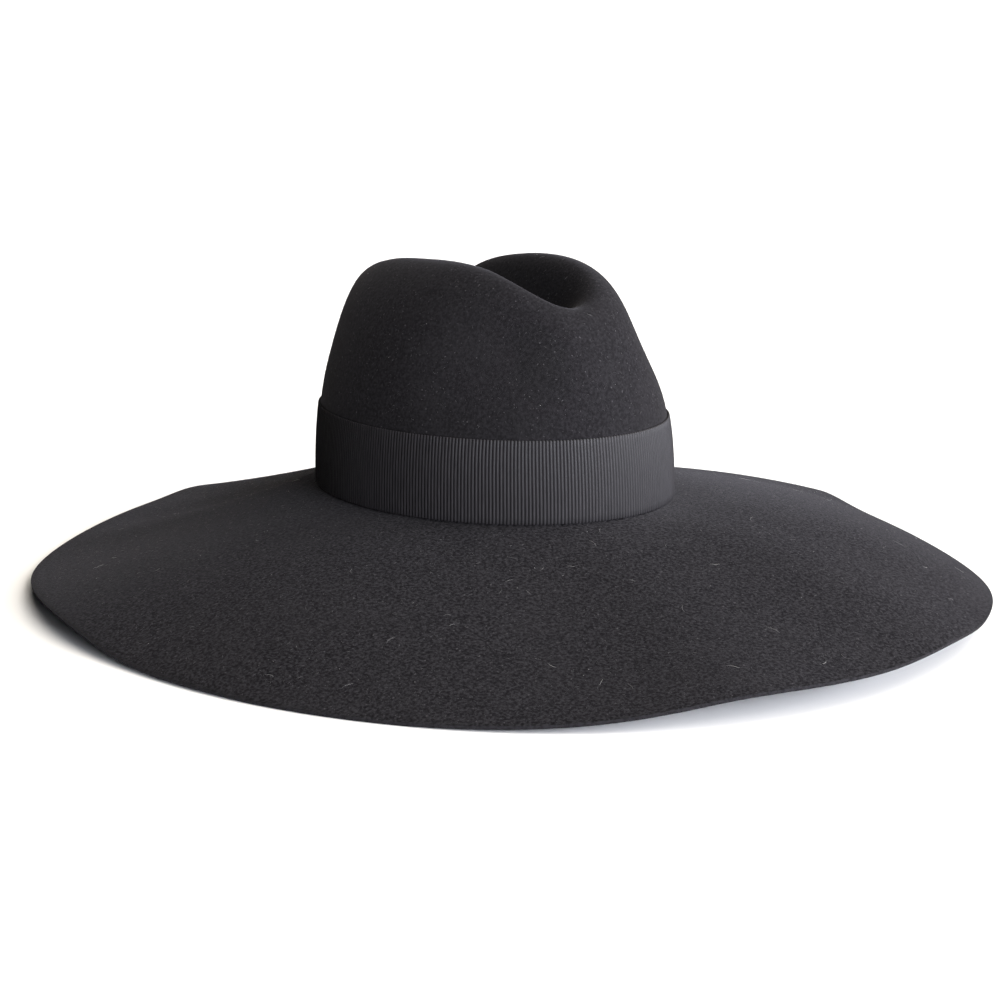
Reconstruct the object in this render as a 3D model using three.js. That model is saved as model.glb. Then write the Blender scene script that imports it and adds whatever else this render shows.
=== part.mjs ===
// Wide-brim felt hat: a centre-dent crown and a drooping brim blocked from one felt, and a grosgrain band.
// Millimetres, +Z up, front of the hat towards -Y, the wearer's left towards +X.
// The hat stands on its brim's edge, with the origin on that surface under the middle of the hat's box.
import * as THREE from "three";

// Driving dimensions
const HEAD = { width: 165, length: 197 };
const FELT_THICKNESS = 2;
const COLUMNS_ROUND = 72;

const halfWidth = HEAD.width / 2 + FELT_THICKNESS;
const halfLength = HEAD.length / 2 + FELT_THICKNESS;

// Crown: its height over the brim's break, how square its shoulders are, and how much each side draws in
// towards the top. Plain wall is the part of the height below which the wall is straight up from the break.
const CROWN = {
  height: 124.1,
  squareness: 3.8,
  plainWall: 0.52,
  shoulderBlend: 0.28,
  rows: 22,
};
const TAPER = {
  side: { share: 0.263, power: 2.32 },
  front: { share: 0.221, power: 1.81 },
  back: { share: 0.156, power: 2.27 },
};
// How far round from the middle of each side the front's taper has given way to the back's
const TAPER_BLEND = 0.93;
// The top's saddle: how much the top stands up ahead of it and behind it, and falls to the wearer's left, as
// shares of the height at the given distance
const SADDLE = { y: 10, frontRise: 0.038, backRise: 0.233, span: 100, leftFall: 0.01, leftSpan: 60 };

// Centre dent: a trough between two places along the top, a little wider and further left at the back.
// Its ends are rounded over the given lengths, and it fades out down the wall.
const DENT = {
  depth: 38.6,
  frontWidth: 19,
  backWidth: 23.8,
  centre: 0.8,
  slant: 0.098,
  power: 2.48,
  front: -28.1,
  frontLength: 32.4,
  back: 61.5,
  backLength: 9.4,
  lowest: 0.41,
  fade: 0.32,
};

// Pinches: a shallow hollow on each side of the front
const PINCH = { depth: 8.9, y: -59.3, z: 82.7, along: 30.1, up: 26.4, sideSpan: 55 };

// Brim: reach in plan, drop of the edge below the break, and rise of its middle above a straight slope.
// The brim is cut a little wider towards the front left than towards the back right.
const BRIM = {
  reach: 157,
  shiftLeft: 3.1,
  shiftFront: 5.2,
  drop: 46.1,
  middleRise: 2,
  rows: 13,
};
// Soft waves round the brim: how many, the bearing of a crest in degrees from +X, and the height
const REACH_WAVES = [{ count: 2, crest: 86.5, height: 3.7 }];
const EDGE_WAVES = [
  { count: 1, crest: -64, height: 3 },
  { count: 2, crest: -57, height: 2.4 },
  { count: 3, crest: 23, height: 1.5 },
  { count: 4, crest: -7.4, height: 3.9 },
  { count: 5, crest: 6.6, height: 1.7 },
];
const MIDDLE_WAVES = [
  { count: 1, crest: -59, height: 5.4 },
  { count: 2, crest: -36, height: 2.7 },
  { count: 3, crest: -54, height: 4.2 },
];
// Local folds of the brim: the bearing of each, how far it spreads either way in degrees, and its height
const EDGE_FOLDS = [
  { bearing: 91, spread: 4, height: 1.9 },
  { bearing: 177, spread: 12.5, height: -4 },
  { bearing: -6.4, spread: 6.4, height: 4.9 },
  { bearing: -72, spread: 7.2, height: -1.8 },
  { bearing: -92, spread: 8.5, height: -1.8 },
  { bearing: -110, spread: 7.6, height: 1.9 },
  { bearing: -128, spread: 12, height: -1.7 },
];
const MIDDLE_FOLDS = [
  { bearing: 115, spread: 6, height: 1.2 },
  { bearing: 106, spread: 6, height: -1.6 },
];
// Where the edge meets the surface the felt is pressed flat by this much, over the last few millimetres.
const SETTLE = 2;
const LIP = 3;

// Ribbon band round the foot of the crown, with its end lapped over its start at the wearer's left
const BAND = {
  height: 42,
  foot: 0.6,
  thickness: 1,
  gap: 0.3,
  rows: 5,
  lap: { bearing: 5, halfAngle: 6, thickness: 0.8 },
};

const COLOURS = { felt: 0x2b292b, ribbon: 0x36343a };

const radians = THREE.MathUtils.degToRad;
const smooth = (value) => THREE.MathUtils.smoothstep(value, 0, 1);
const bell = (offset, spread) => Math.exp(-((offset / spread) ** 2));

// Height of a set of waves at a bearing
function waveHeight(waves, bearing) {
  return waves.reduce(
    (sum, wave) => sum + wave.height * Math.cos(wave.count * (bearing - radians(wave.crest))),
    0,
  );
}

// Height of a set of local folds at a bearing
function foldHeight(folds, bearing) {
  const degrees = THREE.MathUtils.radToDeg(bearing);
  return folds.reduce((sum, fold) => {
    const away = THREE.MathUtils.euclideanModulo(degrees - fold.bearing + 180, 360) - 180;
    return sum + fold.height * bell(away, fold.spread);
  }, 0);
}

// How far one side of the crown has drawn in at a share of the height
function drawIn(taper, rise) {
  return 1 - taper.share * rise ** taper.power;
}

// The crown before its dent and pinches: a squared dome over the head's oval.
// The climb runs from 0 at the break to a quarter turn at the top.
function domePoint(climb, bearing) {
  const { squareness, height, plainWall, shoulderBlend } = CROWN;
  const across = Math.cos(climb);
  const up = Math.sin(climb);
  const norm = (across ** squareness + up ** squareness) ** (1 / squareness);
  const inset = across / norm;
  const rise = up / norm;
  const towardsBack = smooth((Math.sin(bearing) + TAPER_BLEND) / (2 * TAPER_BLEND));
  const lengthwise = THREE.MathUtils.lerp(drawIn(TAPER.front, rise), drawIn(TAPER.back, rise), towardsBack);
  const x = halfWidth * drawIn(TAPER.side, rise) * inset * Math.cos(bearing);
  const y = halfLength * lengthwise * inset * Math.sin(bearing);
  const ahead = Math.max(SADDLE.y - y, 0) / SADDLE.span;
  const behind = Math.max(y - SADDLE.y, 0) / SADDLE.span;
  const ends = SADDLE.frontRise * ahead ** 2 + SADDLE.backRise * behind ** 2;
  const lift = ends - (SADDLE.leftFall * x) / SADDLE.leftSpan;
  const upper = smooth((rise - plainWall) / shoulderBlend);
  return new THREE.Vector3(x, y, height * rise * (1 + upper * lift));
}

// Pushes both sides of the crown's front inwards
function pinch(point) {
  const strength = bell(point.y - PINCH.y, PINCH.along) * bell(point.z - PINCH.z, PINCH.up);
  const side = smooth(Math.abs(point.x) / PINCH.sideSpan);
  point.x -= Math.sign(point.x) * PINCH.depth * strength * side;
}

// Sinks the middle of the top along the crown's length. The distance away from the trough is counted in its
// half widths across it and in its end lengths beyond its ends.
function dent(point) {
  const along = THREE.MathUtils.clamp((point.y - DENT.front) / (DENT.back - DENT.front), 0, 1);
  const width = THREE.MathUtils.lerp(DENT.frontWidth, DENT.backWidth, along);
  const across = (point.x - DENT.centre - DENT.slant * point.y) / width;
  const ahead = Math.max(DENT.front - point.y, 0) / DENT.frontLength;
  const behind = Math.max(point.y - DENT.back, 0) / DENT.backLength;
  const away = Math.hypot(across, ahead, behind);
  const top = smooth((point.z / CROWN.height - DENT.lowest) / DENT.fade);
  point.z -= DENT.depth * Math.exp(-(away ** DENT.power)) * top;
}

// A point of the crown's outer face
function crownPoint(climb, bearing) {
  const point = domePoint(climb, bearing);
  pinch(point);
  dent(point);
  return point;
}

// The level direction away from the crown's wall at a bearing, square to the head's oval
function outwardAt(bearing) {
  return new THREE.Vector3(Math.cos(bearing) / halfWidth, Math.sin(bearing) / halfLength, 0).normalize();
}

// A point of the brim's upper face, with the share of the reach from 0 at the break to 1 at the edge.
// It falls straight to the edge, plus a parabola that stands highest halfway out.
function brimPoint(share, bearing) {
  const outward = outwardAt(bearing);
  const reach = BRIM.reach + waveHeight(REACH_WAVES, bearing);
  const drop = BRIM.drop - waveHeight(EDGE_WAVES, bearing) - foldHeight(EDGE_FOLDS, bearing);
  const rise = BRIM.middleRise + waveHeight(MIDDLE_WAVES, bearing) + foldHeight(MIDDLE_FOLDS, bearing);
  return new THREE.Vector3(
    halfWidth * Math.cos(bearing) + share * (reach * outward.x + BRIM.shiftLeft),
    halfLength * Math.sin(bearing) + share * (reach * outward.y - BRIM.shiftFront),
    -drop * share + rise * 4 * share * (1 - share),
  );
}

const bearingOf = (column) => (column / COLUMNS_ROUND) * Math.PI * 2;

// One ring of points round the hat from a function of the bearing
function ringOf(pointAt) {
  return Array.from({ length: COLUMNS_ROUND }, (_, column) => pointAt(bearingOf(column)));
}

// The felt's upper face as rings: the brim's edge, its lip, in to the break, and up the crown to its top
function feltRings() {
  const lipShare = 1 - LIP / BRIM.reach;
  const rings = [ringOf((bearing) => brimPoint(1, bearing))];
  for (let row = BRIM.rows; row > 0; row -= 1) {
    const share = (lipShare * row) / BRIM.rows;
    rings.push(ringOf((bearing) => brimPoint(share, bearing)));
  }
  for (let row = 0; row < CROWN.rows; row += 1) {
    const climb = ((row / CROWN.rows) * Math.PI) / 2;
    rings.push(ringOf((bearing) => crownPoint(climb, bearing)));
  }
  return rings;
}

// Triangles between two neighbouring rings, and from the last ring to a pole
function joinRings(triangles, lower, upper) {
  for (let column = 0; column < COLUMNS_ROUND; column += 1) {
    const next = (column + 1) % COLUMNS_ROUND;
    triangles.push(lower + column, lower + next, upper + next);
    triangles.push(lower + column, upper + next, upper + column);
  }
}

function closeToPole(triangles, ring, pole) {
  for (let column = 0; column < COLUMNS_ROUND; column += 1) {
    triangles.push(ring + column, ring + ((column + 1) % COLUMNS_ROUND), pole);
  }
}

function geometryOf(points, triangles) {
  const geometry = new THREE.BufferGeometry();
  geometry.setFromPoints(points);
  geometry.setIndex(triangles);
  geometry.computeVertexNormals();
  return geometry;
}

// The felt's upper face as an open sheet, whose normals carry the lower face
function upperSheet() {
  const rings = feltRings();
  const points = rings.flat();
  points.push(crownPoint(Math.PI / 2, 0));
  const triangles = [];
  for (let row = 0; row + 1 < rings.length; row += 1) {
    joinRings(triangles, row * COLUMNS_ROUND, (row + 1) * COLUMNS_ROUND);
  }
  closeToPole(triangles, (rings.length - 1) * COLUMNS_ROUND, points.length - 1);
  return { points, triangles, normals: geometryOf(points, triangles).getAttribute("normal") };
}

// Lifts each pair of points whose lower one would be under the surface, so that the felt lies flat on it
function settleOnSurface(upper, lower, surface) {
  lower.forEach((point, index) => {
    const lift = Math.max(surface - point.z, 0);
    point.z += lift;
    upper[index].z += lift;
  });
}

// The whole felt: an upper face, a lower face a wall's thickness inside it, and the cut edge between them
function feltGeometry() {
  const { points: upper, triangles, normals } = upperSheet();
  const lower = upper.map((point, index) => {
    const normal = new THREE.Vector3().fromBufferAttribute(normals, index);
    return point.clone().addScaledVector(normal, -FELT_THICKNESS);
  });
  const surface = Math.min(...lower.map((point) => point.z)) + SETTLE;
  settleOnSurface(upper, lower, surface);
  const inside = upper.length;
  const all = [...triangles];
  for (let corner = 0; corner < triangles.length; corner += 3) {
    all.push(inside + triangles[corner], inside + triangles[corner + 2], inside + triangles[corner + 1]);
  }
  joinRings(all, inside, 0);
  return geometryOf([...upper, ...lower], all);
}

// The climb at which the plain wall of the crown reaches a height over the break
function climbAt(height) {
  const rise = height / CROWN.height;
  return Math.atan2(rise, (1 - rise ** CROWN.squareness) ** (1 / CROWN.squareness));
}

// How thick the ribbon is at a bearing: one layer, and two where it laps
function ribbonThickness(bearing) {
  const lapped = Math.cos(bearing - radians(BAND.lap.bearing)) >= Math.cos(radians(BAND.lap.halfAngle));
  return BAND.thickness + (lapped ? BAND.lap.thickness : 0);
}

// A ring of the ribbon, set off from the crown's wall by a distance that may depend on the bearing
function ribbonRing(height, distanceAt) {
  return ringOf((bearing) => {
    const point = crownPoint(climbAt(height), bearing);
    return point.addScaledVector(outwardAt(bearing), distanceAt(bearing));
  });
}

// The ribbon: up its outer face and down its inner face, closed into a ring
function bandGeometry() {
  const heights = Array.from(
    { length: BAND.rows },
    (_, row) => BAND.foot + ((BAND.height - BAND.foot) * row) / (BAND.rows - 1),
  );
  const outer = heights.map((height) => ribbonRing(height, (bearing) => BAND.gap + ribbonThickness(bearing)));
  const inner = heights.map((height) => ribbonRing(height, () => BAND.gap)).reverse();
  const rings = [...outer, ...inner];
  const triangles = [];
  rings.forEach((_, row) => {
    joinRings(triangles, row * COLUMNS_ROUND, ((row + 1) % rings.length) * COLUMNS_ROUND);
  });
  return geometryOf(rings.flat(), triangles);
}

function namedMesh(name, geometry, material) {
  const mesh = new THREE.Mesh(geometry, new THREE.MeshStandardMaterial({ metalness: 0, ...material }));
  mesh.name = name;
  return mesh;
}

const hat = new THREE.Group();
hat.add(namedMesh("felt_body", feltGeometry(), { color: COLOURS.felt, roughness: 0.95 }));
hat.add(namedMesh("hat_band", bandGeometry(), { color: COLOURS.ribbon, roughness: 0.6 }));

// The origin goes to the middle of the hat's box, on the surface that it stands on.
const box = new THREE.Box3().setFromObject(hat);
const middle = box.getCenter(new THREE.Vector3());
hat.position.set(-middle.x, -middle.y, -box.min.z);

export default hat;
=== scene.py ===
"""Looks of a wide-brim felt hat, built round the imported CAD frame.

The felt is a fine grid over the same form as the CAD solid, with its raw cut edge rounded. The ribbon has
its ribs as real geometry, and pale lint lies on the felt. Lengths in the classes are millimetres in the
hat's own frame, whose level 0 is the brim's break, with +Z up, the front at -Y and the wearer's left at +X.
The meshes are in metres in the part's frame, and so are the floor's size and the depths of the bumps.
"""

import logging
from dataclasses import dataclass
from typing import Any, Callable, Mapping, Sequence, Union

import bpy
import numpy as np
from mathutils import Matrix, Vector


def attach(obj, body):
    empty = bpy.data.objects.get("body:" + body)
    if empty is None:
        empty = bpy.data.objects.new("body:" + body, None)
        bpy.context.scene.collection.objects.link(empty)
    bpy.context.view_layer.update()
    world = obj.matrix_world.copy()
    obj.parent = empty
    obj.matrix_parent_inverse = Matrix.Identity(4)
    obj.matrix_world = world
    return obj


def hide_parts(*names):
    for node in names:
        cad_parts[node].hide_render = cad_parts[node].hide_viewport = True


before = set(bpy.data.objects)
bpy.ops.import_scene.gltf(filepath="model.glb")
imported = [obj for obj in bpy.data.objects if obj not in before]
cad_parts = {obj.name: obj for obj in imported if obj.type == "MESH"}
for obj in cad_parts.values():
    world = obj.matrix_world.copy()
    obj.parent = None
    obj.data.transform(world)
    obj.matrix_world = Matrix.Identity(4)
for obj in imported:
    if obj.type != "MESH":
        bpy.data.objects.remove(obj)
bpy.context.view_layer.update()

log = logging.getLogger("hat")

Array = np.ndarray
Colour = tuple[float, float, float]
Span = tuple[float, float]
FaceMap = Callable[[Array, Array], Array]

MILLIMETRE = 0.001
FULL_TURN = 2 * np.pi
QUARTER_TURN = np.pi / 2
# Bearing of the hat's corner, halfway from its left side to its back
CORNER_BEARING = np.pi / 4
# Points of the fine lines that lengths are measured along
PROFILE_POINTS = 2001
OVAL_POINTS = 7201


def smooth(value: Array) -> Array:
    """Smooth step: 3 v squared minus 2 v cubed, with v held between 0 and 1.

    Args:
        value: Numbers of any shape.

    Returns:
        Numbers from 0 to 1 of the same shape.
    """
    held = np.clip(value, 0.0, 1.0)
    return held * held * (3 - 2 * held)


def bell(offset: Array, spread: float) -> Array:
    """Bell curve: e to the minus (offset over spread) squared.

    Args:
        offset: Distances from the middle of the bell.
        spread: Distance at which the bell has fallen to 1 / e.

    Returns:
        Numbers from 0 to 1 of the same shape.
    """
    return np.exp(-((offset / spread) ** 2))


def unit(vectors: Array) -> Array:
    """Vectors of length one along the last axis."""
    return vectors / np.linalg.norm(vectors, axis=-1, keepdims=True)


def grid_normals(points: Array) -> Array:
    """Normals of a grid of points that closes on itself round its second axis.

    Each is the cross product of the central differences round the grid and along it.

    Args:
        points: Points as rows by columns by 3.

    Returns:
        Unit normals of the same shape.
    """
    along = np.gradient(points, axis=0)
    around = np.roll(points, -1, axis=1) - np.roll(points, 1, axis=1)
    return unit(np.cross(around, along))


def step_lengths(points: Array) -> Array:
    """Distances from each point of a line to the next."""
    return np.linalg.norm(np.diff(points, axis=0), axis=1)


def running_sum(steps: Array) -> Array:
    """Sums of the steps so far, from 0 before the first."""
    return np.concatenate(([0.0], np.cumsum(steps)))


@dataclass(frozen=True)
class Wave:
    """One cosine wave round the brim: how many crests, the bearing of one in degrees, and its height."""

    count: int
    crest: float
    height: float

    def at(self, bearing: Array) -> Array:
        """Height of the wave at a bearing: height times cos(count times (bearing minus crest))."""
        return self.height * np.cos(self.count * (bearing - np.radians(self.crest)))


@dataclass(frozen=True)
class Fold:
    """One local fold of the brim: its bearing and its spread in degrees, and its height."""

    bearing: float
    spread: float
    height: float

    def at(self, bearing: Array) -> Array:
        """Height of the fold at a bearing: height times a bell of the degrees away from its middle."""
        away = (np.degrees(bearing) - self.bearing + 180) % 360 - 180
        return self.height * bell(away, self.spread)


@dataclass(frozen=True)
class Taper:
    """How one side of the crown draws in towards the top: by a share, with a power of the rise."""

    share: float
    power: float

    def at(self, rise: Array) -> Array:
        """What is left of the half width at a share of the height: 1 minus share times rise to the power."""
        return 1 - self.share * rise**self.power


@dataclass(frozen=True)
class CrownForm:
    """The crown's outer face: a squared dome over the head's oval, pinched in front and dented on top."""

    half_width: float = 84.5
    half_length: float = 100.5
    height: float = 124.1
    squareness: float = 3.8
    plain_wall: float = 0.52
    shoulder_blend: float = 0.28
    side: Taper = Taper(0.263, 2.32)
    front: Taper = Taper(0.221, 1.81)
    back: Taper = Taper(0.156, 2.27)
    taper_blend: float = 0.93
    saddle_y: float = 10.0
    front_rise: float = 0.038
    back_rise: float = 0.233
    rise_span: float = 100.0
    left_fall: float = 0.01
    left_span: float = 60.0
    dent_depth: float = 38.6
    dent_front_width: float = 19.0
    dent_back_width: float = 23.8
    dent_centre: float = 0.8
    dent_slant: float = 0.098
    dent_power: float = 2.48
    dent_front: float = -28.1
    dent_front_length: float = 32.4
    dent_back: float = 61.5
    dent_back_length: float = 9.4
    dent_lowest: float = 0.41
    dent_fade: float = 0.32
    pinch_depth: float = 8.9
    pinch_y: float = -59.3
    pinch_z: float = 82.7
    pinch_along: float = 30.1
    pinch_up: float = 26.4
    pinch_side_span: float = 55.0

    def dome(self, climb: Array, bearing: Array) -> Array:
        """The crown before its pinches and dent.

        The plan is the head's oval times an inset, and the height is the crown's height times a rise. Both
        lie on a squared quarter circle: inset to the squareness plus rise to the squareness is 1. The
        tapers narrow the plan as the crown rises. The top stands up ahead of its saddle and behind it, by a
        share of the height times the square of the distance, and falls a little to the wearer's left.

        Args:
            climb: Angle from 0 at the break to a quarter turn at the top.
            bearing: Angle round the hat from +X.

        Returns:
            Points with x, y and z on the last axis.
        """
        across = np.maximum(np.cos(climb), 0.0)
        up = np.sin(climb)
        norm = (across**self.squareness + up**self.squareness) ** (1 / self.squareness)
        inset = across / norm
        rise = up / norm
        to_back = smooth((np.sin(bearing) + self.taper_blend) / (2 * self.taper_blend))
        lengthwise = self.front.at(rise) * (1 - to_back) + self.back.at(rise) * to_back
        x = self.half_width * self.side.at(rise) * inset * np.cos(bearing)
        y = self.half_length * lengthwise * inset * np.sin(bearing)
        ahead = np.maximum(self.saddle_y - y, 0.0) / self.rise_span
        behind = np.maximum(y - self.saddle_y, 0.0) / self.rise_span
        lift = self.front_rise * ahead**2 + self.back_rise * behind**2 - self.left_fall * x / self.left_span
        upper = smooth((rise - self.plain_wall) / self.shoulder_blend)
        z = self.height * rise * (1 + upper * lift)
        return np.stack(np.broadcast_arrays(x, y, z), axis=-1)

    def pinched(self, points: Array) -> Array:
        """Moves both sides of the front inwards by a bell along the hat times a bell up the wall.

        Args:
            points: Points of the dome.

        Returns:
            The same points with their x changed.
        """
        x, y, z = np.moveaxis(points, -1, 0)
        strength = bell(y - self.pinch_y, self.pinch_along) * bell(z - self.pinch_z, self.pinch_up)
        reach = smooth(np.abs(x) / self.pinch_side_span)
        return np.stack((x - np.sign(x) * self.pinch_depth * strength * reach, y, z), axis=-1)

    def dented(self, points: Array) -> Array:
        """Sinks the top along a slanted line with rounded ends, in a trough that widens to the back.

        The distance away is counted in the trough's half widths across it and in its end lengths beyond its
        ends, and the depth falls off as e to the minus (distance to the dent's power).

        Args:
            points: Points of the pinched dome.

        Returns:
            The same points with their z changed.
        """
        x, y, z = np.moveaxis(points, -1, 0)
        along = np.clip((y - self.dent_front) / (self.dent_back - self.dent_front), 0.0, 1.0)
        width = self.dent_front_width * (1 - along) + self.dent_back_width * along
        across = (x - self.dent_centre - self.dent_slant * y) / width
        ahead = np.maximum(self.dent_front - y, 0.0) / self.dent_front_length
        behind = np.maximum(y - self.dent_back, 0.0) / self.dent_back_length
        away = np.sqrt(across**2 + ahead**2 + behind**2)
        top = smooth((z / self.height - self.dent_lowest) / self.dent_fade)
        return np.stack((x, y, z - self.dent_depth * np.exp(-(away**self.dent_power)) * top), axis=-1)

    def at(self, climb: Array, bearing: Array) -> Array:
        """Points of the finished outer face at a climb and a bearing."""
        return self.dented(self.pinched(self.dome(climb, bearing)))

    def climb_at(self, height: Array) -> Array:
        """The climb at which the plain wall reaches a height over the break."""
        rise = height / self.height
        return np.arctan2(rise, (1 - rise**self.squareness) ** (1 / self.squareness))

    def outward(self, bearing: Array) -> Array:
        """The level unit direction square to the head's oval at a bearing."""
        x = np.cos(bearing) / self.half_width
        y = np.sin(bearing) / self.half_length
        return unit(np.stack((x, y, np.zeros_like(x)), axis=-1))

    def even_climbs(self, count: int) -> Array:
        """Climbs from the break to the top whose points lie about evenly along the wall at the hat's corner.

        Args:
            count: How many climbs to give.

        Returns:
            Angles from 0 to a quarter turn.
        """
        fine = np.linspace(0.0, QUARTER_TURN, PROFILE_POINTS)
        profile = self.dome(fine, np.full_like(fine, CORNER_BEARING))
        length = running_sum(step_lengths(profile))
        return np.interp(np.linspace(0.0, length[-1], count), length, fine)


@dataclass(frozen=True)
class BrimForm:
    """The brim's upper face: it droops from the break to its edge in soft waves and a few local folds."""

    crown: CrownForm
    reach: float = 157.0
    reach_wave: Wave = Wave(2, 86.5, 3.7)
    shift_left: float = 3.1
    shift_front: float = 5.2
    drop: float = 46.1
    middle_rise: float = 2.0
    edge_relief: Sequence[Union[Wave, Fold]] = (
        Wave(1, -64, 3.0),
        Wave(2, -57, 2.4),
        Wave(3, 23, 1.5),
        Wave(4, -7.4, 3.9),
        Wave(5, 6.6, 1.7),
        Fold(91, 4.0, 1.9),
        Fold(177, 12.5, -4.0),
        Fold(-6.4, 6.4, 4.9),
        Fold(-72, 7.2, -1.8),
        Fold(-92, 8.5, -1.8),
        Fold(-110, 7.6, 1.9),
        Fold(-128, 12.0, -1.7),
    )
    middle_relief: Sequence[Union[Wave, Fold]] = (
        Wave(1, -59, 5.4),
        Wave(2, -36, 2.7),
        Wave(3, -54, 4.2),
        Fold(115, 6.0, 1.2),
        Fold(106, 6.0, -1.6),
    )

    def at(self, share: Array, bearing: Array) -> Array:
        """Points of the brim at a share of its reach and a bearing.

        The plan goes out from the head's oval, square to it, with the whole edge shifted a little. The
        height is minus the drop times the share, plus a parabola that stands highest halfway out.

        Args:
            share: 0 at the break and 1 at the edge.
            bearing: Angle round the hat from +X.

        Returns:
            Points with x, y and z on the last axis.
        """
        outward = self.crown.outward(bearing)
        reach = self.reach + self.reach_wave.at(bearing)
        drop = self.drop - sum(part.at(bearing) for part in self.edge_relief)
        rise = self.middle_rise + sum(part.at(bearing) for part in self.middle_relief)
        x = self.crown.half_width * np.cos(bearing) + share * (reach * outward[..., 0] + self.shift_left)
        y = self.crown.half_length * np.sin(bearing) + share * (reach * outward[..., 1] - self.shift_front)
        z = -drop * share + rise * 4 * share * (1 - share)
        return np.stack(np.broadcast_arrays(x, y, z), axis=-1)


@dataclass(frozen=True)
class HatFrame:
    """Where the hat's own frame stands in the part's frame, in millimetres."""

    left: float = -3.1
    back: float = 5.2
    up: float = 53.607

    def to_part(self, points: Array) -> Array:
        """Points of the hat's frame as points of the part's frame, in metres."""
        return (points + np.array((self.left, self.back, self.up))) * MILLIMETRE


@dataclass
class RingStack:
    """A closed surface as rings of points, one above the other, with a pole where an end closes.

    Attributes:
        rings: Points as rows by columns by 3, in metres.
        wraps: True where the last ring joins the first one again.
        first_pole: Point that closes the first ring, if it isn't open.
        last_pole: Point that closes the last ring, if it isn't open.
    """

    rings: Array
    wraps: bool = False
    first_pole: Union[Array, None] = None
    last_pole: Union[Array, None] = None

    def quads(self) -> Array:
        """Corner numbers of the quads between neighbouring rings, as a table with 4 columns."""
        rows, columns = self.rings.shape[:2]
        row = np.arange(rows if self.wraps else rows - 1)[:, None]
        column = np.arange(columns)[None, :]
        lower = row * columns
        upper = ((row + 1) % rows) * columns
        after = (column + 1) % columns
        corners = (lower + column, lower + after, upper + after, upper + column)
        return np.stack(np.broadcast_arrays(*corners), axis=-1).reshape(-1, 4)

    def caps(self) -> Array:
        """Corner numbers of the triangles that close an end to its pole, as a table with 3 columns."""
        rows, columns = self.rings.shape[:2]
        column = np.arange(columns)
        after = (column + 1) % columns
        pole = rows * columns
        found = [np.zeros((0, 3), dtype=int)]
        if self.first_pole is not None:
            found.append(np.stack((after, column, np.full(columns, pole)), axis=-1))
            pole += 1
        if self.last_pole is not None:
            start = (rows - 1) * columns
            found.append(np.stack((start + column, start + after, np.full(columns, pole)), axis=-1))
        return np.concatenate(found)

    def points(self) -> Array:
        """All points of the rings, then the poles."""
        poles = [pole[None, :] for pole in (self.first_pole, self.last_pole) if pole is not None]
        return np.concatenate([self.rings.reshape(-1, 3), *poles])


def add_mesh(
    name: str,
    points: Array,
    quads: Array,
    triangles: Union[Array, None] = None,
) -> bpy.types.Object:
    """Makes a smooth-shaded mesh object at the origin.

    Args:
        name: Name of the piece.
        points: Points in metres, as rows of 3.
        quads: Corner numbers with 4 columns.
        triangles: Corner numbers with 3 columns, if there are any.

    Returns:
        The new object, linked to the scene.
    """
    three = np.zeros((0, 3), dtype=int) if triangles is None else triangles
    corners = np.concatenate((quads.ravel(), three.ravel())).astype(np.int32)
    sizes = np.concatenate((np.full(len(quads), 4), np.full(len(three), 3)))
    starts = np.concatenate(([0], np.cumsum(sizes)[:-1])).astype(np.int32)
    mesh = bpy.data.meshes.new(name)
    mesh.vertices.add(len(points))
    mesh.vertices.foreach_set("co", points.astype(np.float32).ravel())
    mesh.loops.add(len(corners))
    mesh.loops.foreach_set("vertex_index", corners)
    mesh.polygons.add(len(sizes))
    mesh.polygons.foreach_set("loop_start", starts)
    mesh.update(calc_edges=True)
    mesh.validate()
    mesh.polygons.foreach_set("use_smooth", np.ones(len(mesh.polygons), dtype=bool))
    piece = bpy.data.objects.new(name, mesh)
    bpy.context.scene.collection.objects.link(piece)
    return piece


def add_attribute(piece: bpy.types.Object, name: str, values: Array) -> None:
    """Stores one number for each vertex of a piece.

    Args:
        piece: The piece.
        name: Name of the attribute.
        values: One number for each vertex.
    """
    attribute = piece.data.attributes.new(name, "FLOAT", "POINT")
    attribute.data.foreach_set("value", values.astype(np.float32).ravel())


Value = Union[float, "Signal"]


class Signal:
    """A socket of a shader graph that takes part in arithmetic. Each operator adds one Math node."""

    def __init__(self, graph: "ShaderGraph", socket: bpy.types.NodeSocket) -> None:
        """Keeps the graph and the socket."""
        self.graph = graph
        self.socket = socket

    def __add__(self, other: Value) -> "Signal":
        """Sum."""
        return self.graph.math("ADD", self, other)

    def __radd__(self, other: Value) -> "Signal":
        """Sum with a number first."""
        return self.graph.math("ADD", other, self)

    def __sub__(self, other: Value) -> "Signal":
        """Difference."""
        return self.graph.math("SUBTRACT", self, other)

    def __mul__(self, other: Value) -> "Signal":
        """Product."""
        return self.graph.math("MULTIPLY", self, other)

    def __rmul__(self, other: Value) -> "Signal":
        """Product with a number first."""
        return self.graph.math("MULTIPLY", other, self)

    def across(self, span: Span) -> "Signal":
        """Smooth step of the signal, from 0 at the span's low end to 1 at its high end."""
        settings = {"interpolation_type": "SMOOTHSTEP"}
        inputs = {"Value": self, "From Min": span[0], "From Max": span[1]}
        return self.graph.node("ShaderNodeMapRange", settings, inputs, "Result")


@dataclass(frozen=True)
class Grain:
    """A noise: its waves for each unit of the coordinates, its octaves and their roughness."""

    scale: float
    detail: float
    roughness: float


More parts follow.
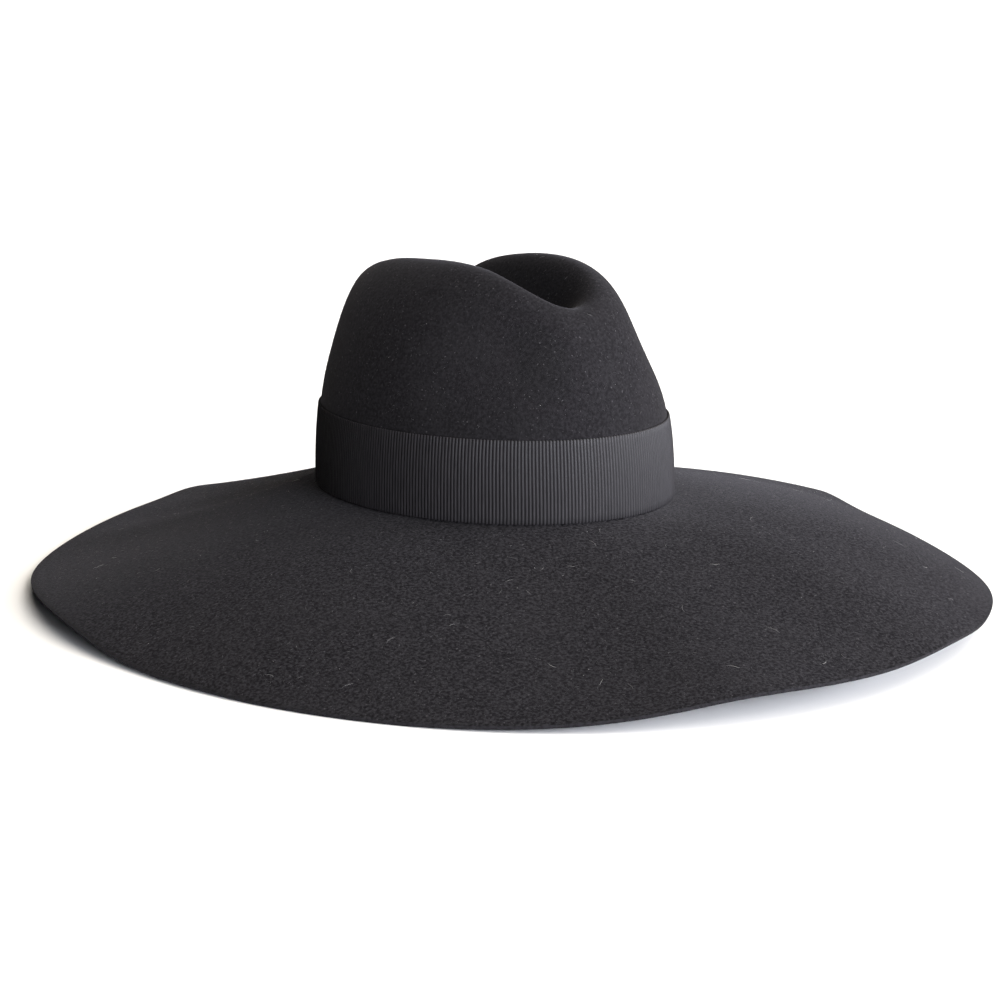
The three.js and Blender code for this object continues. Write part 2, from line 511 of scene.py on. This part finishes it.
class ShaderGraph:
    """The node tree of one material, with a Principled surface."""

    def __init__(self, name: str) -> None:
        """Makes the material and its surface."""
        self.material = bpy.data.materials.new(name)
        self.material.use_nodes = True
        self.tree = self.material.node_tree
        self.tree.nodes.clear()
        self.surface = self.tree.nodes.new("ShaderNodeBsdfPrincipled")
        output = self.tree.nodes.new("ShaderNodeOutputMaterial")
        self.tree.links.new(self.surface.outputs["BSDF"], output.inputs["Surface"])

    def node(self, kind: str, settings: Mapping[str, Any], inputs: Mapping[Any, Any], output: Any) -> Signal:
        """Adds one node.

        Args:
            kind: Blender's type name of the node.
            settings: Properties of the node, set before its sockets.
            inputs: A number, colour or Signal for each input socket, by name or number.
            output: Name or number of the output socket.

        Returns:
            The output as a Signal.
        """
        made = self.tree.nodes.new(kind)
        for key, value in settings.items():
            setattr(made, key, value)
        for key, value in inputs.items():
            self.feed(made.inputs[key], value)
        return Signal(self, made.outputs[output])

    def feed(self, socket: bpy.types.NodeSocket, value: Any) -> None:
        """Links a Signal to an input socket, or sets its value."""
        if isinstance(value, Signal):
            self.tree.links.new(value.socket, socket)
        else:
            socket.default_value = value

    def math(self, operation: str, first: Value, second: Value) -> Signal:
        """One Math node on two values."""
        return self.node("ShaderNodeMath", {"operation": operation}, {0: first, 1: second}, 0)

    def object_place(self) -> Signal:
        """The Object coordinates, which are metres in the part's frame."""
        return self.node("ShaderNodeTexCoord", {}, {}, "Object")

    def attribute(self, name: str) -> Signal:
        """A number that the mesh holds for each vertex."""
        return self.node("ShaderNodeAttribute", {"attribute_name": name}, {}, "Fac")

    def uv_place(self) -> Signal:
        """The UV map's coordinates."""
        return self.node("ShaderNodeTexCoord", {}, {}, "UV")

    def scaled(self, place: Signal, factors: Sequence[float]) -> Signal:
        """Coordinates multiplied by a factor along each axis."""
        return self.node("ShaderNodeVectorMath", {"operation": "MULTIPLY"}, {0: place, 1: tuple(factors)}, 0)

    def noise(self, place: Signal, grain: Grain) -> Signal:
        """Soft noise around one half."""
        inputs = {"Scale": grain.scale, "Detail": grain.detail, "Roughness": grain.roughness}
        return self.node("ShaderNodeTexNoise", {}, {"Vector": place, **inputs}, 0)

    def blend(self, factor: Value, first: Any, second: Any) -> Signal:
        """Mixes two colours."""
        settings = {"data_type": "RGBA", "blend_type": "MIX", "clamp_factor": True}
        return self.node("ShaderNodeMix", settings, {0: factor, 6: first, 7: second}, 2)

    def bump(self, height: Signal, distance: float, strength: float) -> Signal:
        """A normal from a height, with the distance in metres."""
        inputs = {"Height": height, "Distance": distance, "Strength": strength}
        return self.node("ShaderNodeBump", {}, inputs, "Normal")

    def finish(self, inputs: Mapping[str, Any]) -> bpy.types.Material:
        """Feeds the surface's sockets and gives the material."""
        for key, value in inputs.items():
            self.feed(self.surface.inputs[key], value)
        return self.material


def opaque(colour: Colour) -> tuple[float, float, float, float]:
    """A colour with full alpha."""
    return (*colour, 1.0)


@dataclass(frozen=True)
class WoolFeltFinish:
    """Brushed black wool felt: fine mottled fibres, cloudy wear and a paler cut edge."""

    dark: Colour = (0.0032, 0.0030, 0.0033)
    light: Colour = (0.0212, 0.0201, 0.0220)
    worn: Colour = (0.018, 0.017, 0.018)
    speck: Colour = (0.06, 0.057, 0.06)
    cut: Colour = (0.021, 0.020, 0.022)
    fibres: Grain = Grain(660.0, 5.0, 0.62)
    clouds: Grain = Grain(28.0, 3.0, 0.55)
    specks: Grain = Grain(900.0, 1.0, 0.4)
    tufts: Grain = Grain(300.0, 3.0, 0.6)
    fibre_span: Span = (0.34, 0.68)
    cloud_span: Span = (0.42, 0.75)
    speck_span: Span = (0.70, 0.80)
    cloud_share: float = 0.22
    speck_share: float = 0.8
    cut_least: float = 0.4
    brushed: float = 0.42
    fibre_height: float = 0.9
    tuft_height: float = 0.28
    bump_depth: float = 0.0006
    bump_strength: float = 0.6
    roughness: float = 0.6
    sheen: float = 0.055
    sheen_roughness: float = 0.4
    sheen_tint: Colour = (0.97, 0.94, 1.0)

    def material(self) -> bpy.types.Material:
        """Builds the material.

        Fibre noise sets the mottling, cloud noise adds broad uneven wear, and the peaks of a finer noise
        are single pale fibre ends. The cut edge and the nap are attributes of the mesh. The nap is full on
        the brim and brushed down on the crown, where the mottling draws in to its middle tone.

        Returns:
            The material.
        """
        graph = ShaderGraph("brushed_wool_felt")
        place = graph.object_place()
        fibre = graph.noise(place, self.fibres)
        cloud = graph.noise(place, self.clouds)
        fleck = graph.noise(place, self.specks)
        loose = self.brushed + (1 - self.brushed) * graph.attribute("nap")
        mottle = (fibre.across(self.fibre_span) - 0.5) * loose + 0.5
        base = graph.blend(mottle, opaque(self.dark), opaque(self.light))
        base = graph.blend(cloud.across(self.cloud_span) * self.cloud_share, base, opaque(self.worn))
        base = graph.blend(fleck.across(self.speck_span) * self.speck_share, base, opaque(self.speck))
        fray = graph.attribute("cut_edge") * (self.cut_least + (1 - self.cut_least) * mottle)
        base = graph.blend(fray, base, opaque(self.cut))
        tuft = graph.noise(place, self.tufts)
        height = (fibre * self.fibre_height + tuft * self.tuft_height) * loose
        return graph.finish(
            {
                "Base Color": base,
                "Roughness": self.roughness,
                "Specular IOR Level": 0.0,
                "Sheen Weight": self.sheen,
                "Sheen Roughness": self.sheen_roughness,
                "Sheen Tint": opaque(self.sheen_tint),
                "Normal": graph.bump(height, self.bump_depth, self.bump_strength),
            }
        )


@dataclass(frozen=True)
class GrosgrainFinish:
    """Black grosgrain ribbon: satin ribs whose grooves are painted darker, as painted shade between the
    ribs, and a faint streak along each rib.
    """

    # groove is painted shade: a darker base colour in the grooves between the ribs, standing in for the
    # shade that falls in them
    groove: Colour = (0.0102, 0.0095, 0.0104)
    rib: Colour = (0.0215, 0.0200, 0.0220)
    streaks: Grain = Grain(1.0, 2.0, 0.5)
    streaks_round: float = 660.0
    streaks_up: float = 4.0
    groove_shade_span: Span = (0.15, 0.9)
    least_tone: float = 0.1
    streak_tone: float = 1.5
    least_roughness: float = 0.43
    streak_roughness: float = 0.14
    specular: float = 0.14
    bump_depth: float = 0.0003
    bump_strength: float = 0.5

    def material(self) -> bpy.types.Material:
        """Builds the material from the rib attribute and a noise stretched up the ribbon's UV map. The rib
        attribute blends the base colour from the darker groove colour, which is painted shade, to the rib
        colour.

        Returns:
            The material.
        """
        graph = ShaderGraph("satin_grosgrain")
        rib = graph.attribute("rib")
        stretched = graph.scaled(graph.uv_place(), (self.streaks_round, self.streaks_up, 1.0))
        streak = graph.noise(stretched, self.streaks)
        # Painted shade: the tone falls to the darker groove colour where the rib attribute is low, in the
        # grooves
        tone = rib.across(self.groove_shade_span) * (self.least_tone + self.streak_tone * streak)
        base = graph.blend(tone, opaque(self.groove), opaque(self.rib))
        return graph.finish(
            {
                "Base Color": base,
                "Roughness": self.least_roughness + self.streak_roughness * streak,
                "Specular IOR Level": self.specular,
                "Normal": graph.bump(streak, self.bump_depth, self.bump_strength),
            }
        )


@dataclass(frozen=True)
class LintFinish:
    """Pale grey textile dust and loose fibres."""

    dull: Colour = (0.045, 0.043, 0.045)
    bright: Colour = (0.40, 0.39, 0.38)
    patches: Grain = Grain(400.0, 1.0, 0.5)
    least_tone: float = 0.6
    patch_tone: float = 0.8
    roughness: float = 0.9

    def material(self) -> bpy.types.Material:
        """Builds the material, whose tone comes from each fibre's own paleness and a soft noise along it.

        Returns:
            The material.
        """
        graph = ShaderGraph("pale_lint")
        patch = graph.noise(graph.object_place(), self.patches)
        tone = graph.attribute("paleness") * (self.least_tone + self.patch_tone * patch)
        base = graph.blend(tone, opaque(self.dull), opaque(self.bright))
        return graph.finish({"Base Color": base, "Roughness": self.roughness, "Specular IOR Level": 0.0})


@dataclass(frozen=True)
class FloorFinish:
    """Plain white studio floor."""

    colour: Colour = (0.86, 0.86, 0.86)
    roughness: float = 0.9
    specular: float = 0.1

    def material(self) -> bpy.types.Material:
        """Builds the plain matt material."""
        graph = ShaderGraph("studio_floor")
        inputs = {"Roughness": self.roughness, "Specular IOR Level": self.specular}
        return graph.finish({"Base Color": opaque(self.colour), **inputs})


@dataclass(frozen=True)
class BlockedFelt:
    """Crown and brim in one felt, with both faces and the raw cut edge."""

    crown: CrownForm
    brim: BrimForm
    place: HatFrame
    thickness: float = 2.0
    columns: int = 360
    brim_rows: int = 46
    fillet_rows: int = 5
    crown_rows: int = 68
    fillet: float = 1.2
    corner: float = 0.45
    corner_rows: int = 4
    nap_fade: float = 40.0

    def bearings(self) -> Array:
        """Bearings of the columns."""
        return np.arange(self.columns) / self.columns * FULL_TURN

    def upper_rings(self) -> Array:
        """The upper face from the cut edge's corner in over the brim, round the break and up the crown.

        Round the break it follows a curve of the second degree from the brim to the wall, whose middle
        control point is the break itself. Climbs that would crowd that curve are left out.

        Returns:
            Points as rows by columns by 3.
        """
        bearing = self.bearings()[None, :]
        inner = self.fillet / self.brim.reach
        outer = 1 - self.corner / self.brim.reach
        share = np.linspace(outer, inner, self.brim_rows)[:, None]
        brim = self.brim.at(share, bearing)
        wall_start = self.crown.climb_at(np.array(self.fillet))
        climbs = self.crown.even_climbs(self.crown_rows + 1)[:-1]
        climbs = np.concatenate(([wall_start], climbs[climbs > wall_start * 2]))
        wall = self.crown.at(climbs[:, None], bearing)
        turn = np.linspace(0.0, 1.0, self.fillet_rows + 2)[1:-1, None, None]
        break_ring = self.brim.at(np.zeros((1, 1)), bearing)
        fillet = (1 - turn) ** 2 * brim[-1] + 2 * turn * (1 - turn) * break_ring + turn**2 * wall[0]
        return np.concatenate((brim, fillet, wall))

    def edge_rings(self, start: Array, normal: Array) -> Array:
        """The cut edge: a quarter circle off the upper face, a flat and a quarter circle to the lower face.

        Args:
            start: The upper face's first ring.
            normal: Its normals.

        Returns:
            Rings from the lower face's first ring to just below the upper one.
        """
        around = unit(np.roll(start, -1, axis=0) - np.roll(start, 1, axis=0))
        out = np.cross(around, normal)
        turn = np.linspace(0.0, QUARTER_TURN, self.corner_rows)[:, None, None]
        top = start - self.corner * normal
        upper = top + self.corner * (np.sin(turn) * out + np.cos(turn) * normal)
        bottom = start - (self.thickness - self.corner) * normal
        lower = bottom + self.corner * (np.cos(turn) * out - np.sin(turn) * normal)
        return np.concatenate((upper, lower))[::-1][:-1]

    def settled(self, rings: Array, lowest: Array) -> Array:
        """Lifts points whose lower face would be under the surface the hat stands on.

        Args:
            rings: Points in the hat's frame.
            lowest: Height of the lower face under each point.

        Returns:
            The points, lifted.
        """
        lift = np.maximum(-self.place.up - lowest, 0.0)
        return rings + lift[..., None] * np.array((0.0, 0.0, 1.0))

    def surface(self) -> tuple[RingStack, Array]:
        """The felt as one closed surface, from the lower face's pole round the edge to the upper one's.

        Returns:
            The surface, and for each of its points 1 on the cut edge and 0 elsewhere.
        """
        upper = self.upper_rings()
        normal = grid_normals(upper)
        lower = upper - self.thickness * normal
        edge = self.edge_rings(upper[0], normal[0])
        foot = lower[0, :, 2][None, :]
        upper = self.settled(upper, lower[..., 2])
        edge = self.settled(edge, np.broadcast_to(foot, edge.shape[:2]))
        lower = self.settled(lower, lower[..., 2])
        top = self.crown.at(np.array(QUARTER_TURN), np.array(0.0))
        under = top - np.array((0.0, 0.0, self.thickness))
        rings = self.place.to_part(np.concatenate((lower[:0:-1], edge, upper)))
        poles = self.place.to_part(np.stack((under, top)))
        stack = RingStack(rings, first_pole=poles[0], last_pole=poles[1])
        cut = np.zeros(len(stack.points()))
        first = (len(lower) - 1) * self.columns
        cut[first : first + len(edge) * self.columns] = 1.0
        return stack, cut

    def build(self) -> bpy.types.Object:
        """Makes the felt.

        Returns:
            The felt, riding on the frame.
        """
        stack, cut = self.surface()
        points = stack.points()
        height = points[:, 2] / MILLIMETRE - self.place.up
        felt = add_mesh("blocked_felt", points, stack.quads(), stack.caps())
        add_attribute(felt, "cut_edge", cut)
        add_attribute(felt, "nap", smooth(1 - height / self.nap_fade))
        felt.data.materials.append(WoolFeltFinish().material())
        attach(felt, "root")
        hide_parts("felt_body")
        return felt


@dataclass(frozen=True)
class GrosgrainBand:
    """The ribbon round the foot of the crown, with its ribs, its saw-toothed edges and its lapped end."""

    crown: CrownForm
    place: HatFrame
    height: float = 42.0
    foot: float = 0.6
    thickness: float = 1.0
    gap: float = 0.3
    ribs: int = 330
    columns_per_rib: int = 6
    rib_depth: float = 0.45
    tooth: float = 0.25
    edge_inset: float = 0.4
    rows: int = 15
    edge_rows: int = 3
    lap_bearing: float = 5.0
    lap_half_angle: float = 6.0
    lap_thickness: float = 0.8
    lap_step: float = 0.5

    def columns(self) -> Array:
        """Numbers of the columns, from 0."""
        return np.arange(self.ribs * self.columns_per_rib)

    def bearings(self) -> Array:
        """Bearings of the columns, evenly spaced along the oval's length."""
        fine = np.linspace(0.0, FULL_TURN, OVAL_POINTS)
        x = self.crown.half_width * np.cos(fine)
        y = self.crown.half_length * np.sin(fine)
        length = running_sum(step_lengths(np.stack((x, y), axis=-1)))
        column = self.columns()
        return np.interp(column / len(column) * length[-1], length, fine)

    def rib_height(self) -> Array:
        """How far each column stands out: the size of the sine of half a turn for each rib, from 0 to 1."""
        return np.abs(np.sin(np.pi * self.columns() / self.columns_per_rib))

    def lap(self, bearing: Array) -> Array:
        """The second layer's thickness, with a smooth step at each end of the lap."""
        offset = np.abs(np.degrees(bearing) - self.lap_bearing)
        offset = np.minimum(offset, 360 - offset)
        return self.lap_thickness * smooth((self.lap_half_angle - offset) / self.lap_step)

    def rings(self, height: Array, distance: Array) -> Array:
        """Rings at heights over the break, set off from the crown's wall by a distance.

        Args:
            height: Heights as rows by columns.
            distance: Distances as rows by columns.

        Returns:
            Points as rows by columns by 3.
        """
        bearing = self.bearings()[None, :]
        wall = self.crown.at(self.crown.climb_at(height), bearing)
        return wall + distance[..., None] * self.crown.outward(np.broadcast_to(bearing, height.shape))

    def section(self, rib: Array) -> tuple[Array, Array]:
        """The rows of the closed ring: up its outer face, over its edge, down its inner face and under it.

        Args:
            rib: How far each column stands out, from 0 to 1.

        Returns:
            Heights over the break and distances from the crown's wall, as rows by columns.
        """
        groove = 1 - rib
        outer = self.gap + self.thickness + self.lap(self.bearings()) - self.rib_depth * groove
        low = self.foot + self.tooth * groove
        high = self.height - self.tooth * groove
        rise = np.linspace(0.0, 1.0, self.rows)[:, None]
        face = (low + self.edge_inset) * (1 - rise) + (high - self.edge_inset) * rise
        back = face[:: -(self.rows - 1) // 2]
        turn = np.linspace(0.0, np.pi, self.edge_rows + 2)[1:-1, None]
        over = high - self.edge_inset + self.edge_inset * np.sin(turn)
        under = low + self.edge_inset - self.edge_inset * np.sin(turn)
        middle = (outer + self.gap) / 2
        swing = (outer - self.gap) / 2 * np.cos(turn)
        face_distance = np.broadcast_to(outer, face.shape)
        back_distance = np.full(back.shape, self.gap)
        heights = np.concatenate((face, over, back, under))
        distances = np.concatenate((face_distance, middle + swing, back_distance, middle - swing))
        return heights, distances

    def build(self) -> bpy.types.Object:
        """Makes the ribbon.

        Returns:
            The ribbon, riding on the frame.
        """
        rib = self.rib_height()
        heights, distances = self.section(rib)
        stack = RingStack(self.place.to_part(self.rings(heights, distances)), wraps=True)
        band = add_mesh("grosgrain_band", stack.points(), stack.quads())
        # The rib attribute also sets the painted groove shade in the ribbon's base colour
        add_attribute(band, "rib", np.broadcast_to(rib, heights.shape))
        self.add_uv(band, heights)
        band.data.materials.append(GrosgrainFinish().material())
        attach(band, "root")
        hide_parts("hat_band")
        return band

    def add_uv(self, band: bpy.types.Object, heights: Array) -> None:
        """Lays the UV map: once round the hat across, and the share of the ribbon's height up.

        Where a quad crosses the seam, its corners at 0 are laid at 1.

        Args:
            band: The ribbon's object.
            heights: Height of each vertex over the break, as rows by columns.
        """
        column = self.columns()
        across = np.broadcast_to(column / len(column), heights.shape)
        table = np.stack((across, heights / self.height), axis=-1).reshape(-1, 2)
        corners = np.zeros(len(band.data.loops), dtype=np.int32)
        band.data.loops.foreach_get("vertex_index", corners)
        placed = table[corners].reshape(-1, 4, 2)
        wrapped = (placed[..., 0].max(axis=1, keepdims=True) - placed[..., 0]) > 0.5
        placed[..., 0] += wrapped
        layer = band.data.uv_layers.new(name="ribbon")
        layer.data.foreach_set("uv", placed.astype(np.float32).ravel())


@dataclass(frozen=True)
class LintKind:
    """One kind of lint: how many, and the ranges of its length, radius, bend in radians and paleness."""

    count: int
    length: Span
    radius: Span
    bend: float
    paleness: Span


@dataclass(frozen=True)
class LooseLint:
    """Short pale fibres and specks that lie on the felt's upper face, in one mesh of thin closed tubes."""

    crown: CrownForm
    brim: BrimForm
    place: HatFrame
    brim_kinds: Sequence[LintKind] = (
        LintKind(4800, (0.6, 2.0), (0.025, 0.045), 1.2, (0.0, 0.38)),
        LintKind(70, (3.0, 7.5), (0.040, 0.065), 1.6, (0.3, 0.9)),
        LintKind(130, (0.25, 0.5), (0.09, 0.15), 0.2, (0.5, 1.0)),
    )
    crown_kinds: Sequence[LintKind] = (
        LintKind(1500, (0.6, 1.8), (0.025, 0.040), 1.2, (0.0, 0.22)),
        LintKind(10, (3.0, 5.0), (0.040, 0.060), 1.4, (0.2, 0.6)),
        LintKind(16, (0.25, 0.4), (0.08, 0.13), 0.2, (0.4, 0.9)),
    )
    brim_shares: Span = (0.03, 0.93)
    crown_climbs: Span = (0.37, 1.50)
    profile_points: int = 400
    lift: float = 0.03
    end_share: float = 0.5
    knots: int = 4
    sides: int = 3
    nudge: float = 1e-3
    seed: int = 11

    def even_firsts(self, face: FaceMap, ends: Span, count: int, rng: np.random.Generator) -> Array:
        """Draws first coordinates that spread the lint evenly over a face.

        The area up to a coordinate is the running sum of the profile's steps times their distance from the
        hat's axis, and the draw is even in that area. The profile is the one at the hat's corner.

        Args:
            face: Gives points of the face from its first coordinate and the bearing.
            ends: Lowest and highest first coordinate.
            count: How many to draw.
            rng: Seeded random numbers.

        Returns:
            First coordinates.
        """
        fine = np.linspace(*ends, self.profile_points)
        profile = face(fine, np.full_like(fine, CORNER_BEARING))
        radius = np.linalg.norm(profile[1:, :2], axis=1)
        area = running_sum(step_lengths(profile) * radius)
        return np.interp(rng.uniform(0.0, area[-1], count), area, fine)

    def spines(
        self,
        face: FaceMap,
        first: Array,
        kind: LintKind,
        rng: np.random.Generator,
    ) -> tuple[Array, Array]:
        """Middle lines of one kind of lint, laid on a face.

        Each is an arc in the face's tangent plane, whose direction turns evenly from end to end by its
        bend. Its steps are divided by the lengths of the face's two tangents, so that it follows the felt.

        Args:
            face: Gives points of the face from its first coordinate and the bearing.
            first: First coordinate of each line's start.
            kind: The kind of lint.
            rng: Seeded random numbers.

        Returns:
            Points as fibres by knots by 3, and the face's upward normal at each fibre.
        """
        count = len(first)
        bearing = rng.uniform(0.0, FULL_TURN, count)
        here = face(first, bearing)
        along = (face(first + self.nudge, bearing) - here) / self.nudge
        around = (face(first, bearing + self.nudge) - here) / self.nudge
        heading = rng.uniform(0.0, FULL_TURN, count)[:, None]
        bend = rng.uniform(-kind.bend, kind.bend, count)[:, None]
        turn = heading + bend * np.linspace(-0.5, 0.5, self.knots)
        step = rng.uniform(*kind.length, count)[:, None] / (self.knots - 1)
        up = np.cumsum(np.sin(turn) * step, axis=1) / np.linalg.norm(along, axis=-1)[:, None]
        across = np.cumsum(np.cos(turn) * step, axis=1) / np.linalg.norm(around, axis=-1)[:, None]
        normal = unit(np.cross(around, along))
        normal = normal * np.where(normal[:, 2:] < 0, -1.0, 1.0)
        return face(first[:, None] + up, bearing[:, None] + across), normal

    def tubes(self, spine: Array, normal: Array, radius: Array) -> Array:
        """Rings of corners round the middle lines, which narrow at both ends.

        Args:
            spine: Points of the middle lines.
            normal: The face's normal at each fibre.
            radius: Radius of each fibre.

        Returns:
            Points as fibres by knots by sides by 3.
        """
        above = normal[:, None, :]
        side = unit(np.cross(above, np.gradient(spine, axis=1)))
        narrow = np.ones(self.knots)
        narrow[[0, -1]] = self.end_share
        corner = np.arange(self.sides) / self.sides * FULL_TURN
        sideways = np.cos(corner)[:, None] * side[:, :, None, :]
        upwards = np.sin(corner)[:, None] * above[:, :, None, :]
        size = radius[:, None, None, None] * narrow[:, None, None]
        middle = spine + self.lift * above
        return middle[:, :, None, :] + size * (sideways + upwards)

    def build(self) -> bpy.types.Object:
        """Makes all the lint.

        Returns:
            The lint, riding on the frame.
        """
        rng = np.random.default_rng(self.seed)
        beds = [(self.brim.at, self.brim_shares, kind) for kind in self.brim_kinds]
        beds += [(self.crown.at, self.crown_climbs, kind) for kind in self.crown_kinds]
        points = []
        paleness = []
        for face, ends, kind in beds:
            first = self.even_firsts(face, ends, kind.count, rng)
            spine, normal = self.spines(face, first, kind, rng)
            points.append(self.tubes(spine, normal, rng.uniform(*kind.radius, kind.count)))
            paleness.append(rng.uniform(*kind.paleness, kind.count))
        tubes = self.place.to_part(np.concatenate(points))
        quads, caps = self.corners(len(tubes))
        lint = add_mesh("felt_lint", tubes.reshape(-1, 3), quads, caps)
        add_attribute(lint, "paleness", np.repeat(np.concatenate(paleness), self.knots * self.sides))
        lint.data.materials.append(LintFinish().material())
        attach(lint, "root")
        return lint

    def corners(self, count: int) -> tuple[Array, Array]:
        """Corner numbers of all the tubes: quads along them and one triangle at each end.

        Args:
            count: How many tubes there are.

        Returns:
            Quads and triangles.
        """
        start = (np.arange(count) * self.knots * self.sides)[:, None, None]
        knot = np.arange(self.knots - 1)[None, :, None] * self.sides
        side = np.arange(self.sides)[None, None, :]
        after = (side + 1) % self.sides
        near = start + knot
        far = near + self.sides
        quads = np.stack(np.broadcast_arrays(near + side, near + after, far + after, far + side), axis=-1)
        first = start[:, 0, :] + np.arange(self.sides)[::-1]
        last = start[:, 0, :] + (self.knots - 1) * self.sides + np.arange(self.sides)
        return quads.reshape(-1, 4), np.concatenate((first, last))


@dataclass(frozen=True)
class SoftLight:
    """A far soft light.

    Attributes:
        name: Name of the light.
        azimuth: Degrees round the hat, from the camera's side towards the picture's right.
        elevation: Degrees above the floor.
        strength: Strength of the light.
        spread: Size of the light's disc in degrees.
        colour: Colour of the light.
    """

    name: str
    azimuth: float
    elevation: float
    strength: float
    spread: float
    colour: Colour


COOL: Colour = (0.95, 0.98, 1.07)
WARM: Colour = (1.06, 1.0, 0.90)


@dataclass(frozen=True)
class Studio:
    """Camera, a plain pale floor, three low cool lights on the right and three higher warm ones."""

    place: HatFrame
    lights: Sequence[SoftLight] = (
        SoftLight("front_light", 30.0, 12.0, 3.96, 30.0, COOL),
        SoftLight("key_light", 60.0, 12.0, 2.48, 30.0, COOL),
        SoftLight("side_light", 90.0, 12.0, 5.10, 30.0, COOL),
        SoftLight("middle_light", 60.0, 40.0, 1.25, 40.0, WARM),
        SoftLight("back_light", 120.0, 40.0, 1.09, 40.0, WARM),
        SoftLight("high_light", 130.0, 70.0, 1.90, 60.0, WARM),
    )
    distance: float = 1300.0
    elevation: float = 13.0
    turn: float = 45.0
    roll: float = 0.33
    lens: float = 88.98
    sensor_width: float = 36.0
    aim_right: float = 3.85
    aim_up: float = -8.53
    floor_size: float = 60.0

    def add_camera(self) -> None:
        """Makes the camera at the photograph's angle and sets it as the scene's."""
        turn = np.radians(self.turn)
        climb = np.radians(self.elevation)
        right = np.array((np.cos(turn), -np.sin(turn), 0.0))
        forward = np.array((np.sin(turn) * np.cos(climb), np.cos(turn) * np.cos(climb), -np.sin(climb)))
        up = np.cross(right, forward)
        aim = right * self.aim_right + np.array((0.0, 0.0, self.aim_up))
        stands = self.place.to_part(aim - forward * self.distance)
        tilt = np.radians(self.roll)
        rolled_right = right * np.cos(tilt) + up * np.sin(tilt)
        rolled_up = up * np.cos(tilt) - right * np.sin(tilt)
        data = bpy.data.cameras.new("camera")
        data.lens = self.lens
        data.sensor_width = self.sensor_width
        camera = bpy.data.objects.new("camera", data)
        columns = np.stack((rolled_right, rolled_up, -forward), axis=-1)
        camera.matrix_world = Matrix.Translation(Vector(stands)) @ Matrix(columns.tolist()).to_4x4()
        bpy.context.scene.collection.objects.link(camera)
        bpy.context.scene.camera = camera

    def add_light(self, kind: SoftLight) -> None:
        """Makes one of the lights. The camera's side lies at a bearing of -90 degrees less its turn."""
        bearing = np.radians(-90 - self.turn + kind.azimuth)
        height = np.radians(kind.elevation)
        level = np.cos(height)
        towards = Vector((np.cos(bearing) * level, np.sin(bearing) * level, np.sin(height)))
        data = bpy.data.lights.new(kind.name, "SUN")
        data.energy = kind.strength
        data.angle = np.radians(kind.spread)
        data.color = kind.colour
        light = bpy.data.objects.new(kind.name, data)
        light.rotation_euler = towards.to_track_quat("Z", "Y").to_euler()
        bpy.context.scene.collection.objects.link(light)

    def add_floor(self) -> None:
        """Makes the floor, which is no part of the hat and isn't mirrored in the ribbon's gloss."""
        half = self.floor_size / 2
        corners = np.array(((-half, -half, 0.0), (half, -half, 0.0), (half, half, 0.0), (-half, half, 0.0)))
        floor = add_mesh("studio_floor", corners, np.array(((0, 1, 2, 3),)))
        floor.data.materials.append(FloorFinish().material())
        floor.visible_glossy = False

    def add_world(self) -> None:
        """Leaves the surroundings dark, so that only the lights and the floor light the hat."""
        world = bpy.data.worlds.new("studio_air")
        world.use_nodes = True
        world.node_tree.nodes["Background"].inputs["Strength"].default_value = 0.0
        bpy.context.scene.world = world

    def build(self) -> None:
        """Makes the whole studio."""
        self.add_camera()
        self.add_floor()
        self.add_world()
        for kind in self.lights:
            self.add_light(kind)
        bpy.context.scene.view_settings.view_transform = "Standard"


def main() -> None:
    """Builds the hat and its studio."""
    logging.basicConfig(level=logging.INFO, format="%(name)s: %(message)s")
    crown = CrownForm()
    brim = BrimForm(crown)
    place = HatFrame()
    Studio(place).build()
    makers = (BlockedFelt(crown, brim, place), GrosgrainBand(crown, place), LooseLint(crown, brim, place))
    for maker in makers:
        piece = maker.build()
        log.info("%s: %d faces", piece.name, len(piece.data.polygons))


if __name__ == "__main__":
    main()
